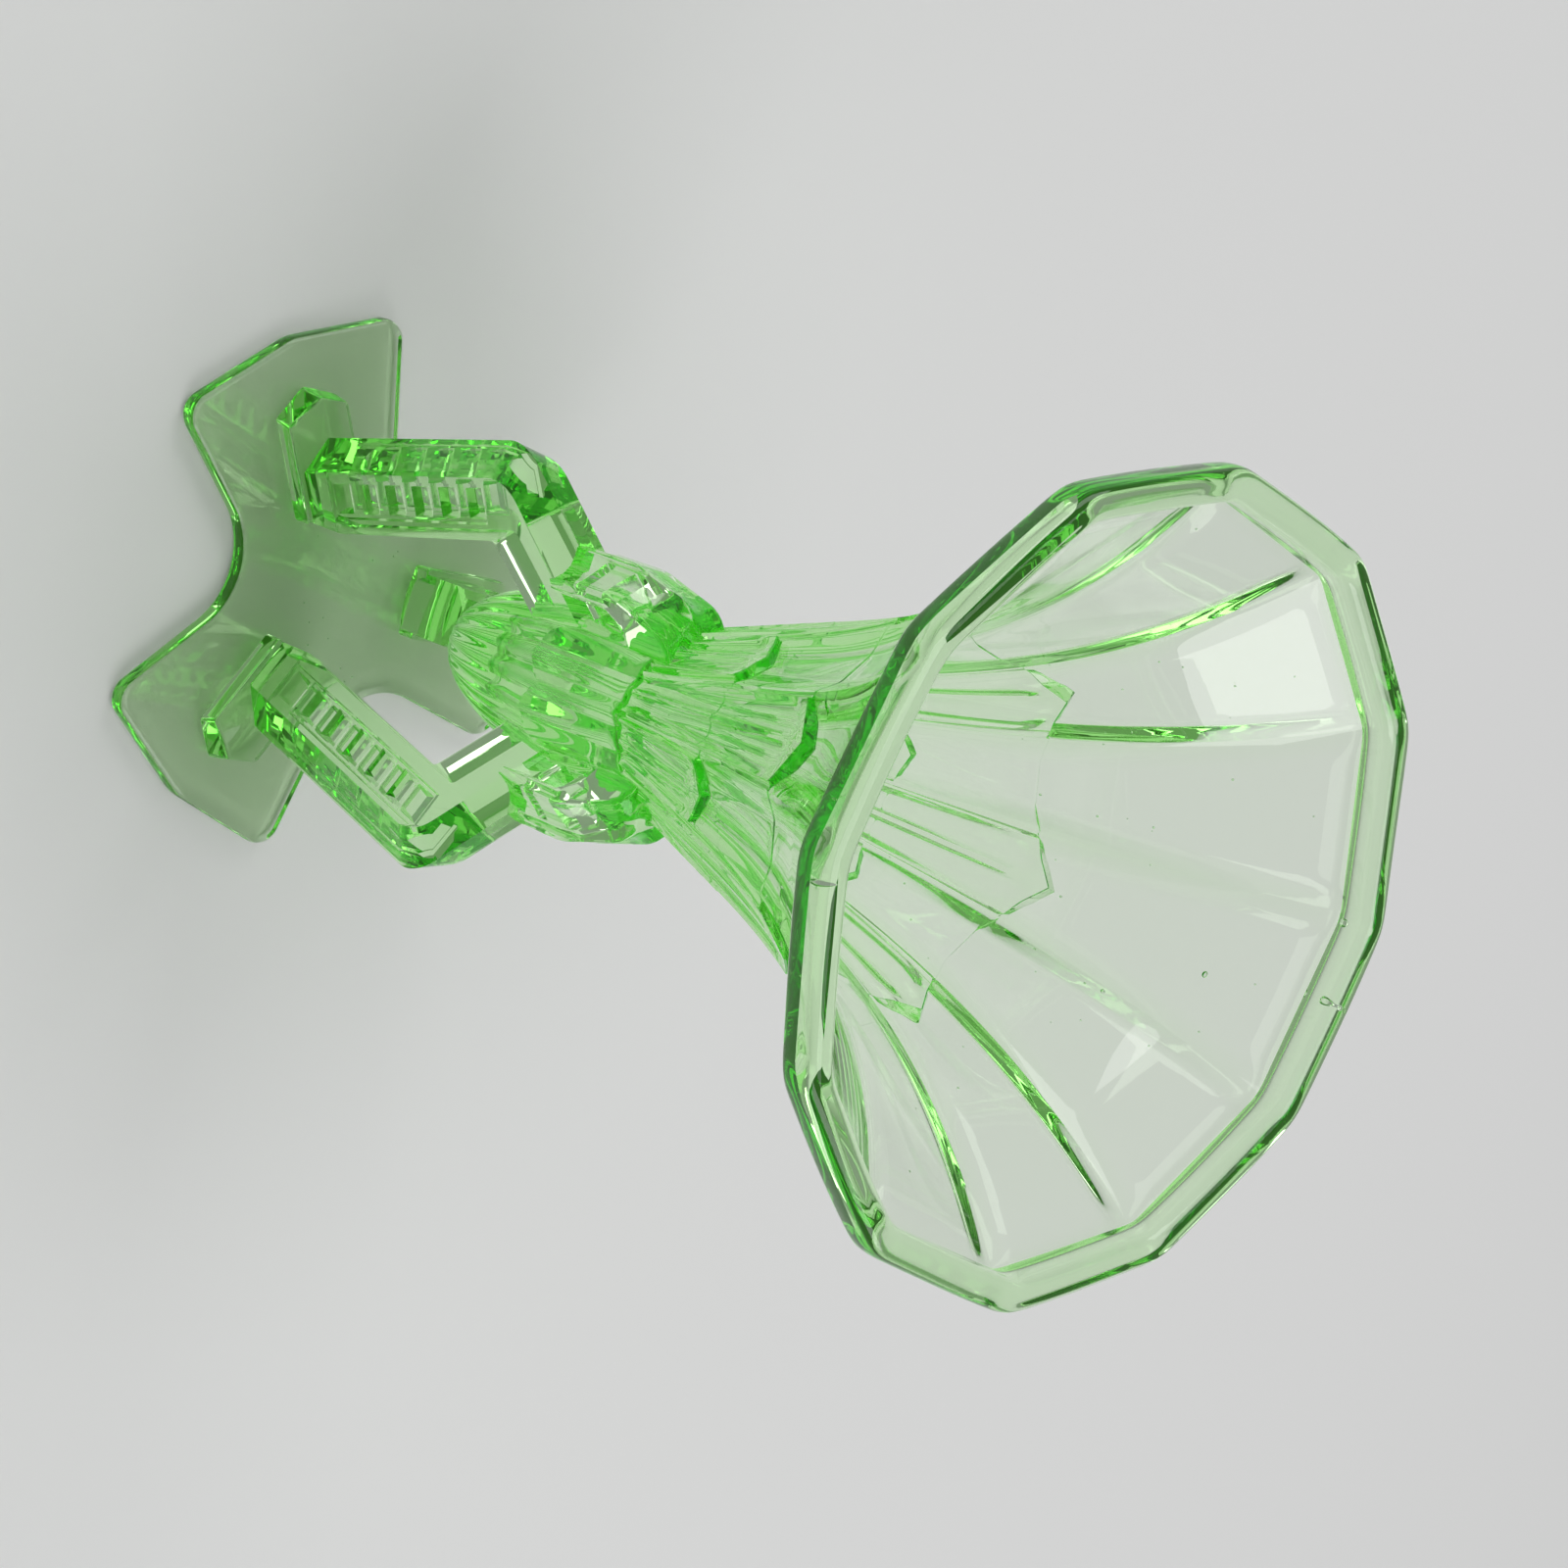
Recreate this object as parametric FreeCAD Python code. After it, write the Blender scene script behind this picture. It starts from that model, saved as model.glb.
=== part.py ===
"""Pressed uranium-glass footed vase, built from its moulded features.

Frame: millimetres, +Z up, origin at the middle of the underside of the foot plate.
Leg 1 stands on the +X axis and the other two legs follow at 120 degree steps.
Every feature is a closed solid that meets its neighbours face to face.
"""
import FreeCAD, Part
import math
import os

Vec = FreeCAD.Vector
Z_AXIS = Vec(0, 0, 1)
ORIGIN = Vec(0, 0, 0)

# ---- driving dimensions ----
HEIGHT = 210.0            # foot plate underside to rim
LEG_COUNT = 3
LEG_STEP = 360.0 / LEG_COUNT
FACET_COUNT = 12          # flutes around the bell, with a ridge over each leg
FACET_STEP = 360.0 / FACET_COUNT

# foot plate: three lobes with shallow pointed ends, and rounded notches between them
PLATE_THICKNESS = 3.6
LOBE_TIP_RADIUS = 51.3    # point in the middle of each lobe's end
LOBE_CORNER_RADIUS = 53.5     # corners of the lobe before they are rounded
LOBE_HALF_ANGLE = 29.0
NOTCH_RADIUS = 17.9       # where the straight sides of two lobes would meet
LOBE_TIP_ROUND = 10.0
LOBE_CORNER_ROUND = 4.5
NOTCH_ROUND = 15.5
PLATE_EDGE_ROUND = 0.7    # softening of the upper edge

# legs, drawn in the upright plane through the leg: r outwards, z up
# their outer faces are two slopes that meet in a keel down the middle
LEG_HALF_WIDTH = 6.0
KEEL = 5.0                # how far the keel stands out beyond the side faces
FOOT_SIDE_TOP = 7.7       # stepped block at the foot of the pillar, upper edge of its sides
FOOT_RIDGE_TOP = 9.2      # the same on the middle line
FOOT_OUTER = 37.8
FOOT_POINT = 41.8         # tip of the block's pointed outer end
FOOT_HALF_WIDTH = 7.1
FOOT_DRAFT = 1.2          # how much further in the block's top ends than its base
FOOT_HEEL_GAP = 0.2       # the block starts this far inside the pillar's heel
PILLAR_LEAN = 0.2166      # outward travel per unit of height
HEEL_TOP = 16.5           # the pillar's inner face is upright below this
ELBOW_INNER = (27.4, 64.9)
ELBOW_OUTER = (40.9, 71.1)
ELBOW_ROUND = 5.0
BRACE_RISE_OUTER = 0.60   # rise per unit of inward travel, upper face of the brace
BRACE_RISE_INNER = 0.64   # the same for its lower face
ROOT_RADIUS = 12.0        # braces, fins and hoods run in to here before the body is cut away

# sunk ladder panel on both sides of each pillar
PANEL_DEPTH = 1.6
PANEL_INNER_MARGIN = 3.5
PANEL_OUTER_MARGIN = 1.8
PANEL_BOTTOM = 15.8
PANEL_TOP = 63.6
RUNG_GAPS = 6
RUNG_HEIGHT = 2.4

# nose: the bullet-shaped lower end of the body that hangs between the legs
NOSE_TIP = 41.8
NOSE_WIDEST = 100.0       # height where the bullet would be widest
NOSE_RADIUS = 18.6
NOSE_TOP = 79.0
NOSE_RIBS = 24
NOSE_TIP_FLAT = 3.0       # radius of the small flat on the tip
NOSE_STATIONS = [NOSE_TIP, 43.0, 45.5, 49.5, 55.0, 62.0, 70.0, NOSE_TOP]
STEP_RISE = 2.5           # height over which the nose narrows in to the core
COLLAR_TOP = 106.0
CORE_RADIUS = 17.1        # ribbed core behind the arched panels

# arched panels, two between each pair of legs
ARCH_RADIUS = 18.4
ARCH_HALF_ANGLE = 18.4
ARCH_OFFSET = 18.6        # panel centre from the middle between two legs
ARCH_FOOT = 80.2

# cone and bell: twelve flat flutes between ridges
CONE_BASE_RADIUS = 15.8
CONE_SLOPE = 0.27
FLARE_GROWTH = 32.5       # extra radius that the flare would reach at HEIGHT
FLARE_POWER = 4
BELL_BOTTOM = 168.0
BELL_TOP = 202.4
WALL = 3.7
CONE_STATIONS = 8
BELL_STATIONS = 7
SHORT_PANEL_TOP = 136.0
LONG_PANEL_TOP = 165.0
PANEL_RAISE = 1.9         # how far the panels stand off the cone
PANEL_INSET = 0.06        # share of the flute's width left bare on each side of a panel
PANEL_BEVEL = 2.2         # the raised face is inset by this many times as much
RIM_RADIUS = 69.3

# section of the bead: (share of its height, distance in from RIM_RADIUS)
RIM_OUTER = [(0.0, 3.48), (0.12, 1.1), (0.3, 0.1), (0.68, 0.0), (0.87, 0.45), (0.97, 1.4), (1.0, 2.7)]
RIM_INNER = [(0.0, 7.18), (0.15, 6.4), (0.34, 6.0), (0.7, 6.0), (0.88, 5.5), (0.97, 4.6), (1.0, 3.3)]

# hollow inside the body
CAVITY_BOTTOM = 62.0
CAVITY_TOP_RADIUS = 11.4  # at COLLAR_TOP
CAVITY_NOSE_RADIUS = 8.4  # at NOSE_TOP

# shoulder: hood over the root of each brace, with two fins under it
# cross-section of the hood: (distance from its middle, how far the outline stands out)
HOOD_SECTIONS = [(-6.7, 0.0), (-4.2, 0.35), (-2.6, 1.2), (0.0, 3.9), (2.6, 1.2), (4.2, 0.35), (6.7, 0.0)]
HOOD_THROAT = 22.8        # radius of the hollow side above the brace
HOOD_SINK = 2.0           # how far the hood starts below the brace's side edges
HOOD_LOWER = (24.0, 24.9)       # radii of the outer sweep's first two points
HOOD_LOWER_RISE = 2.5
HOOD_BULGE = (25.0, 97.0)
HOOD_BROW = (20.5, 110.6)
HOOD_TOP = 111.6
HOOD_THROAT_TOP = 95.0
HOOD_VAULT = (19.8, 99.5)
HOOD_VAULT_ROOT = 101.5
FIN_THICKNESS = 2.6
FIN_PITCH = 6.9           # upward step from the brace to fin 1 and from fin 1 to fin 2
FIN_HALF_WIDTH = 5.0


# ---- helpers ----
def polar(radius, degrees, height):
    """Point at a radius and azimuth."""
    angle = math.radians(degrees)
    return Vec(radius * math.cos(angle), radius * math.sin(angle), height)


def ring_wire(radius, height, count):
    """Regular polygon about the axis with a corner on +X."""
    step = 360.0 / count
    corners = [polar(radius, step * k, height) for k in range(count + 1)]
    return Part.makePolygon(corners)


def stacked_rings(stations, count):
    """Solid with flat faces between polygons given as (height, corner radius)."""
    wires = [ring_wire(radius, height, count) for height, radius in stations]
    return Part.makeLoft(wires, True, True)


def spread(low, high, count):
    """Evenly spaced values from low to high, both ends included."""
    return [low + (high - low) * k / (count - 1) for k in range(count)]


def rounded_wire(points, rounds):
    """Closed outline in the XZ plane with a tangent arc at each rounded corner."""
    edges = []
    count = len(points)
    starts = []
    ends = []
    mids = []
    for k in range(count):
        corner = Vec(points[k][0], 0, points[k][1])
        before = Vec(points[k - 1][0], 0, points[k - 1][1])
        after = Vec(points[(k + 1) % count][0], 0, points[(k + 1) % count][1])
        to_before = (before - corner).normalize()
        to_after = (after - corner).normalize()
        half = to_before.getAngle(to_after) / 2
        radius = rounds[k]
        run = radius / math.tan(half)
        starts.append(corner + to_before * run)
        ends.append(corner + to_after * run)
        bisector = (to_before + to_after).normalize()
        mids.append(corner + bisector * (radius / math.sin(half) - radius))
    for k in range(count):
        if rounds[k] > 0:
            edges.append(Part.Arc(starts[k], mids[k], ends[k]).toShape())
        following = starts[(k + 1) % count]
        if (following - ends[k]).Length > 1e-6:
            edges.append(Part.makeLine(ends[k], following))
    return Part.Wire(edges)


def slab(points, rounds, half_width):
    """Upright slab from an outline in the (r, z) plane, centred on the XZ plane."""
    face = Part.Face(rounded_wire(points, rounds))
    face.translate(Vec(0, -half_width, 0))
    return face.extrude(Vec(0, 2 * half_width, 0))


def lofted(sections):
    """Solid across the leg through outlines given as (y, points, rounds)."""
    wires = []
    for y, points, rounds in sections:
        wire = rounded_wire(points, rounds)
        wire.translate(Vec(0, y, 0))
        wires.append(wire)
    return Part.makeLoft(wires, True, True)


def turned(shape, degrees):
    """Copy turned about the vertical axis."""
    copy = shape.copy()
    copy.rotate(ORIGIN, Z_AXIS, degrees)
    return copy


def only_solid(shape):
    """The largest solid of a boolean result."""
    return max(shape.Solids, key=lambda solid: solid.Volume)


# ---- foot plate ----
def build_plate():
    """Three-lobed plate with a softened upper edge."""
    points = []
    rounds = []
    for leg in range(LEG_COUNT):
        for radius, offset, corner_round in (
            (LOBE_CORNER_RADIUS, -LOBE_HALF_ANGLE, LOBE_CORNER_ROUND),
            (LOBE_TIP_RADIUS, 0.0, LOBE_TIP_ROUND),
            (LOBE_CORNER_RADIUS, LOBE_HALF_ANGLE, LOBE_CORNER_ROUND),
            (NOTCH_RADIUS, LEG_STEP / 2, NOTCH_ROUND),
        ):
            corner = polar(radius, LEG_STEP * leg + offset, 0)
            points.append((corner.x, corner.y))
            rounds.append(corner_round)
    face = Part.Face(rounded_wire(points, rounds))
    face.rotate(ORIGIN, Vec(1, 0, 0), -90)
    plate = face.extrude(Vec(0, 0, PLATE_THICKNESS))
    rim = [edge for edge in plate.Edges if edge.BoundBox.ZMin > PLATE_THICKNESS - 1e-3]
    return plate.makeFillet(PLATE_EDGE_ROUND, rim)


# ---- legs ----
def pillar_face(elbow, height):
    """Radius of a leaning pillar face at a height, from its corner at the elbow."""
    elbow_radius, elbow_height = elbow
    return elbow_radius - PILLAR_LEAN * (elbow_height - height)


def brace_top(radius):
    """Height of the brace's upper face at a radius."""
    return ELBOW_OUTER[1] + BRACE_RISE_OUTER * (ELBOW_OUTER[0] - radius)


def build_foot():
    """Stepped block with a pointed outer end and a ridged top."""
    inner = pillar_face(ELBOW_INNER, HEEL_TOP) - FOOT_HEEL_GAP
    tip = FOOT_POINT - FOOT_OUTER

    def section(y, reach, top):
        outline = [
            (inner, PLATE_THICKNESS),
            (FOOT_OUTER + reach, PLATE_THICKNESS),
            (FOOT_OUTER + reach - FOOT_DRAFT, top),
            (inner, top),
        ]
        return y, outline, [0, 0, 0, 0]

    return lofted([
        section(-FOOT_HALF_WIDTH, 0.0, FOOT_SIDE_TOP),
        section(0.0, tip, FOOT_RIDGE_TOP),
        section(FOOT_HALF_WIDTH, 0.0, FOOT_SIDE_TOP),
    ])


def keeled(section):
    """Solid between two like side outlines and a middle one that stands out by the keel."""
    return lofted([
        (-LEG_HALF_WIDTH,) + section(0.0),
        (0.0,) + section(KEEL),
        (LEG_HALF_WIDTH,) + section(0.0),
    ])


def pillar_section(stand_out):
    """Side view of the pillar, level with the elbow's inner corner at its top."""
    mitre_height = ELBOW_INNER[1]
    heel = pillar_face(ELBOW_INNER, HEEL_TOP)
    outline = [
        (heel, PLATE_THICKNESS),
        (pillar_face(ELBOW_OUTER, PLATE_THICKNESS) + stand_out, PLATE_THICKNESS),
        (pillar_face(ELBOW_OUTER, mitre_height) + stand_out, mitre_height),
        ELBOW_INNER,
        (heel, HEEL_TOP),
    ]
    return outline, [0, 0, 0, 0, 0]


def build_pillar(foot):
    """Leaning pillar from the foot block to the elbow, with a sunk ladder on both sides."""
    pillar = keeled(pillar_section).cut(foot)
    gap_pitch = (PANEL_TOP - PANEL_BOTTOM + RUNG_HEIGHT) / RUNG_GAPS
    for gap in range(RUNG_GAPS):
        low = PANEL_BOTTOM + gap_pitch * gap
        high = low + gap_pitch - RUNG_HEIGHT
        pocket_outline = [
            (pillar_face(ELBOW_INNER, low) + PANEL_INNER_MARGIN, low),
            (pillar_face(ELBOW_OUTER, low) - PANEL_OUTER_MARGIN, low),
            (pillar_face(ELBOW_OUTER, high) - PANEL_OUTER_MARGIN, high),
            (pillar_face(ELBOW_INNER, high) + PANEL_INNER_MARGIN, high),
        ]
        pocket = slab(pocket_outline, [0, 0, 0, 0], PANEL_DEPTH)
        for side in (-1, 1):
            sunk = pocket.copy()
            sunk.translate(Vec(0, side * LEG_HALF_WIDTH, 0))
            pillar = pillar.cut(sunk)
    return only_solid(pillar)


def brace_section(stand_out):
    """Side view of the elbow and the brace."""
    mitre_height = ELBOW_INNER[1]
    root_bottom = ELBOW_INNER[1] + BRACE_RISE_INNER * (ELBOW_INNER[0] - ROOT_RADIUS)
    outline = [
        ELBOW_INNER,
        (pillar_face(ELBOW_OUTER, mitre_height) + stand_out, mitre_height),
        (ELBOW_OUTER[0] + stand_out, ELBOW_OUTER[1]),
        (ROOT_RADIUS, brace_top(ROOT_RADIUS - stand_out)),
        (ROOT_RADIUS, root_bottom),
    ]
    return outline, [0, 0, ELBOW_ROUND, 0, 0]


def build_brace(body_core):
    """Elbow and sloping brace, running in to the nose."""
    return only_solid(keeled(brace_section).cut(body_core))


def hood_section(stand_out):
    """Side view of the hood: outer sweep, then back along the hollow under it."""
    foot = brace_top(HOOD_THROAT) - HOOD_SINK
    outline = [
        (HOOD_LOWER[0] + stand_out, foot),
        (HOOD_LOWER[1] + stand_out, foot + HOOD_SINK + HOOD_LOWER_RISE),
        (HOOD_BULGE[0] + stand_out, HOOD_BULGE[1]),
        (HOOD_BROW[0] + stand_out, HOOD_BROW[1]),
        (ROOT_RADIUS, HOOD_TOP),
        (ROOT_RADIUS, HOOD_VAULT_ROOT),
        HOOD_VAULT,
        (HOOD_THROAT, HOOD_THROAT_TOP),
        (HOOD_THROAT, foot),
    ]
    return outline, [0, 2.0, 11.0, 4.5, 0, 0, 3.0, 3.0, 0]


def build_hood(cutters):
    """Ridged hood with hollowed flanks, from the brace up over the collar."""
    hood = lofted([(y,) + hood_section(stand_out) for y, stand_out in HOOD_SECTIONS])
    for cutter in cutters:
        hood = hood.cut(cutter)
    return only_solid(hood)


def build_fin(number, cutters):
    """Thin sloping fin under the hood, parallel to the brace."""
    top_inner = brace_top(ROOT_RADIUS) + FIN_PITCH * number
    top_outer = brace_top(HOOD_THROAT) + FIN_PITCH * number
    outline = [
        (ROOT_RADIUS, top_inner - FIN_THICKNESS),
        (HOOD_THROAT, top_outer - FIN_THICKNESS),
        (HOOD_THROAT, top_outer),
        (ROOT_RADIUS, top_inner),
    ]
    fin = slab(outline, [0, 0, 0, 0], FIN_HALF_WIDTH)
    for cutter in cutters:
        fin = fin.cut(cutter)
    return only_solid(fin)


# ---- body ----
def nose_radius(height):
    """Bullet outline: a half ellipse that is widest at NOSE_WIDEST."""
    reach = (NOSE_WIDEST - height) / (NOSE_WIDEST - NOSE_TIP)
    return max(NOSE_RADIUS * math.sqrt(max(0.0, 1.0 - reach ** 2)), NOSE_TIP_FLAT)


def build_nose_solid():
    """Ribbed bullet without its hollow."""
    return stacked_rings([(z, nose_radius(z)) for z in NOSE_STATIONS], NOSE_RIBS)


def build_collar_solid():
    """Core behind the arched panels, without its hollow."""
    stations = [
        (NOSE_TOP, nose_radius(NOSE_TOP)),
        (NOSE_TOP + STEP_RISE, CORE_RADIUS),
        (COLLAR_TOP, CORE_RADIUS),
    ]
    return stacked_rings(stations, NOSE_RIBS)


def build_cavity():
    """Round hollow below the cone: a domed bottom and a slow taper."""
    dome_top = CAVITY_BOTTOM + CAVITY_NOSE_RADIUS
    bottom = Vec(0, 0, CAVITY_BOTTOM)
    half_way = CAVITY_NOSE_RADIUS * math.sqrt(0.5)
    dome_middle = Vec(half_way, 0, dome_top - half_way)
    dome_side = Vec(CAVITY_NOSE_RADIUS, 0, dome_top)
    neck = Vec(CAVITY_NOSE_RADIUS, 0, NOSE_TOP)
    mouth = Vec(CAVITY_TOP_RADIUS, 0, COLLAR_TOP)
    top = Vec(0, 0, COLLAR_TOP)
    edges = [
        Part.Arc(bottom, dome_middle, dome_side).toShape(),
        Part.makeLine(dome_side, neck),
        Part.makeLine(neck, mouth),
        Part.makeLine(mouth, top),
        Part.makeLine(top, bottom),
    ]
    return Part.Face(Part.Wire(edges)).revolve(ORIGIN, Z_AXIS, 360)


def cone_radius(height):
    """Corner radius of the outer wall: a straight taper plus a late flare."""
    share = (height - COLLAR_TOP) / (HEIGHT - COLLAR_TOP)
    return CONE_BASE_RADIUS + CONE_SLOPE * (height - COLLAR_TOP) + FLARE_GROWTH * share ** FLARE_POWER


def inner_radius(height):
    """Corner radius of the inner wall."""
    return cone_radius(height) - WALL


def cone_heights():
    """Heights where the cone's flat faces change slope, panel ends included."""
    heights = spread(COLLAR_TOP, BELL_BOTTOM, CONE_STATIONS)
    return sorted(set(heights + [SHORT_PANEL_TOP, LONG_PANEL_TOP]))


def build_tapered_shell(heights):
    """Twelve-sided shell between the outer and inner walls."""
    outer = stacked_rings([(z, cone_radius(z)) for z in heights], FACET_COUNT)
    inner = stacked_rings([(z, inner_radius(z)) for z in heights], FACET_COUNT)
    return outer.cut(inner)


def build_cone_panel(facet, top):
    """Raised panel that fills one flute from the collar up to its ledge."""
    left = FACET_STEP * facet
    right = left + FACET_STEP
    wires = []
    for z in [z for z in cone_heights() if z <= top + 1e-6]:
        radius = cone_radius(z)
        left_edge = polar(radius, left, z)
        right_edge = polar(radius, right, z)
        inset = (right_edge - left_edge) * PANEL_INSET
        bevel = inset * PANEL_BEVEL
        outward = polar(PANEL_RAISE, (left + right) / 2, 0)
        corners = [
            left_edge + inset,
            right_edge - inset,
            right_edge - bevel + outward,
            left_edge + bevel + outward,
        ]
        wires.append(Part.makePolygon(corners + corners[:1]))
    return Part.makeLoft(wires, True, True)


def build_arch_panel(middle):
    """Arched panel on the core, round at its lower end."""
    blank = stacked_rings([(NOSE_TOP, ARCH_RADIUS), (COLLAR_TOP, ARCH_RADIUS)], NOSE_RIBS)
    half_chord = CORE_RADIUS * math.sin(math.radians(ARCH_HALF_ANGLE))
    spring = ARCH_FOOT + half_chord
    near = ARCH_RADIUS / 2
    left_top = Vec(near, -half_chord, COLLAR_TOP)
    left_spring = Vec(near, -half_chord, spring)
    foot = Vec(near, 0, ARCH_FOOT)
    right_spring = Vec(near, half_chord, spring)
    right_top = Vec(near, half_chord, COLLAR_TOP)
    edges = [
        Part.makeLine(left_top, left_spring),
        Part.Arc(left_spring, foot, right_spring).toShape(),
        Part.makeLine(right_spring, right_top),
        Part.makeLine(right_top, left_top),
    ]
    cutter = Part.Face(Part.Wire(edges)).extrude(Vec(2 * ARCH_RADIUS, 0, 0))
    return blank.common(turned(cutter, middle))


def build_rim():
    """Fire-polished bead with an upright outer side and a rounded top."""
    crown = HEIGHT - BELL_TOP
    outer = [(BELL_TOP + crown * share, RIM_RADIUS - inset) for share, inset in RIM_OUTER]
    inner = [(BELL_TOP + crown * share, RIM_RADIUS - inset) for share, inset in RIM_INNER]
    outer[0] = (BELL_TOP, cone_radius(BELL_TOP))
    inner[0] = (BELL_TOP, inner_radius(BELL_TOP))
    return stacked_rings(outer, FACET_COUNT).cut(stacked_rings(inner, FACET_COUNT))


def main():
    """Build every feature and write one STEP file for each."""
    nose_solid = build_nose_solid()
    collar_solid = build_collar_solid()
    cavity = build_cavity()
    cone = build_tapered_shell(cone_heights())
    bell = build_tapered_shell(spread(BELL_BOTTOM, BELL_TOP, BELL_STATIONS))
    cone_blank = stacked_rings([(z, cone_radius(z)) for z in cone_heights()], FACET_COUNT)
    body_core = nose_solid.fuse(collar_solid)

    nodes = {
        "foot_plate": build_plate(),
        "nose_bulb": nose_solid.cut(cavity),
        "nose_collar": collar_solid.cut(cavity),
        "cone_wall": cone,
        "bell_wall": bell,
        "rim_bead": build_rim(),
    }

    arch_panels = []
    for gap in range(LEG_COUNT):
        between_legs = LEG_STEP * gap + LEG_STEP / 2
        for side in (-1, 1):
            panel = build_arch_panel(between_legs + side * ARCH_OFFSET).cut(collar_solid).cut(nose_solid)
            arch_panels.append(only_solid(panel))
            nodes["arch_panel_%d" % len(arch_panels)] = arch_panels[-1]

    cone_panels = []
    for facet in range(FACET_COUNT):
        long_one = facet % 2 == 1
        top = LONG_PANEL_TOP if long_one else SHORT_PANEL_TOP
        name = "long_panel_%d" if long_one else "short_panel_%d"
        panel = build_cone_panel(facet, top)
        cone_panels.append(panel)
        nodes[name % (facet // 2 + 1)] = panel

    foot = build_foot()
    pillar = build_pillar(foot)
    brace = build_brace(body_core)
    for leg in range(LEG_COUNT):
        turn = LEG_STEP * leg
        number = leg + 1
        nodes["leg_foot_%d" % number] = turned(foot, turn)
        nodes["leg_pillar_%d" % number] = turned(pillar, turn)
        nodes["leg_brace_%d" % number] = turned(brace, turn)
        around = [turned(shape, -turn) for shape in [body_core, cone_blank] + arch_panels + cone_panels]
        hood = build_hood(around + [brace])
        nodes["shoulder_hood_%d" % number] = turned(hood, turn)
        for fin_number in (1, 2):
            fin = build_fin(fin_number, around + [brace, hood])
            nodes["shoulder_fin_%d_%d" % (number, fin_number)] = turned(fin, turn)

    os.makedirs("parts", exist_ok=True)
    for name, shape in nodes.items():
        shape.exportStep("parts/%s.step" % name)
        print(name, len(shape.Solids), shape.isValid(), round(shape.Volume, 1))


main()
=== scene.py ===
import math

import bmesh
import bpy
import numpy as np
from mathutils import Matrix, Vector


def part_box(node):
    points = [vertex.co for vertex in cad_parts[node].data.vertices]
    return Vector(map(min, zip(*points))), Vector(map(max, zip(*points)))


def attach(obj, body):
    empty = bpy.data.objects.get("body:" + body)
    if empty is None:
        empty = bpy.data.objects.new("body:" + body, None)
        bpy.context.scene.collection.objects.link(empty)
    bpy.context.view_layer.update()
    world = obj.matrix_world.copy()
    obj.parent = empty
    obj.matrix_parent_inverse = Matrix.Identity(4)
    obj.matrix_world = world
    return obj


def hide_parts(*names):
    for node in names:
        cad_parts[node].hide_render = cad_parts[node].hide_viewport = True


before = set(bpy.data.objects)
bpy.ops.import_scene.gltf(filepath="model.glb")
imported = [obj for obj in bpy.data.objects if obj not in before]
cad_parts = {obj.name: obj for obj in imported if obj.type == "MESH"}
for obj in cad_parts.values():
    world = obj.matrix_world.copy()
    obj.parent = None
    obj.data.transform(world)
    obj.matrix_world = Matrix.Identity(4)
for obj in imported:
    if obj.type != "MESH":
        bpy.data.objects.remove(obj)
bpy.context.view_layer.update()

# Lengths are in millimetres, unless a name or a comment says otherwise, and angles are in degrees.
MM = 0.001

# ---- the frame this scene is built round ----
NODES = sorted(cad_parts)


def top(node):
    """Upper end of a CAD node, in millimetres."""
    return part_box(node)[1].z / MM


def bottom(node):
    """Lower end of a CAD node, in millimetres."""
    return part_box(node)[0].z / MM


HEIGHT = top("rim_bead")
RIM_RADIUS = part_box("rim_bead")[1].x / MM
BELL_TOP = bottom("rim_bead")
COLLAR_Z = bottom("cone_wall")
NOSE_TIP = bottom("nose_bulb")
ARCH_FOOT = bottom("arch_panel_1")
SHORT_END = top("short_panel_1")
LONG_END = top("long_panel_1")
PLATE_TOP = top("foot_plate")
FOOT_TOP = top("leg_foot_1")

# ---- sizes of the body ----
LEG_COUNT = 3
LEG_STEP = 360.0 / LEG_COUNT
FACETS = 12               # flutes round the cone and bell
FACET_STEP = 360.0 / FACETS
HALF_FACET = FACET_STEP / 2
COLUMNS = 384             # points in each ring of the body
WALL = 3.7

NOSE_WIDEST = 100.0       # height where the nose's ellipse would be widest
NOSE_RADIUS = 18.3
NOSE_RIB_DEPTH = 0.75
NOSE_RIB_START = 8.0      # height over which the ribs rise from the tip

TIER_FOOT_RADIUS = 18.7   # tier of arched panels between nose and collar
TIER_TOP_RADIUS = 17.9
TIER_RIB_DEPTH = 0.45
ARCH_MIDDLE = 18.0        # angle from mid-way between two legs to an arched panel's middle
ARCH_REACH = 37.0         # the arches end this far from mid-way between two legs
ARCH_RISE = 8.5
ARCH_CENTRE = 18.4        # centre and half width of each arch's curve
ARCH_HALF = 20.5
ARCH_BESIDE_LEG = 7.0     # height of the tier's lower edge behind a leg

CONE_BASE_RADIUS = 15.8
CONE_SLOPE = 0.27
FLARE_GROWTH = 32.5       # extra radius that the flare would reach at HEIGHT
FLARE_POWER = 4

DISH_DEPTH = 1.25         # hollow of each flute of the bell
DISH_CORNER = 5.0
DISH_EDGE = 1.1           # flat left beside each ridge
DISH_START = (128.0, 34.0)      # height where the hollow begins, and the run over which it deepens
RIB_DEPTH = 0.75          # rib along each ridge
RIB_RUN = 30.0            # height over which the ribs rise and die away
REED_DEPTH = 0.34
REED_END = (118.0, 26.0)  # height where the reeding begins to fade, and the run over which it does

PANEL_RAISE = 1.9
PANEL_SHARE = 0.92        # share of the flute's half width that a panel takes
PANEL_HOLLOW = 1.15       # depth of the two flutes sunk in each panel
PANEL_HOLLOW_MIDDLE = 0.43
PANEL_HOLLOW_HALF = 0.33
PANEL_END_MARGIN = 2.6
PANEL_END_RUN = 3.2
PANEL_POINT = 0.9         # how much of the nominal rise the pointed ends have
LONG_RISE = 7.0
SHORT_RISE = 4.0
PANEL_OVERRUN = 1.2       # the points stand this much above the CAD panel's end

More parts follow.
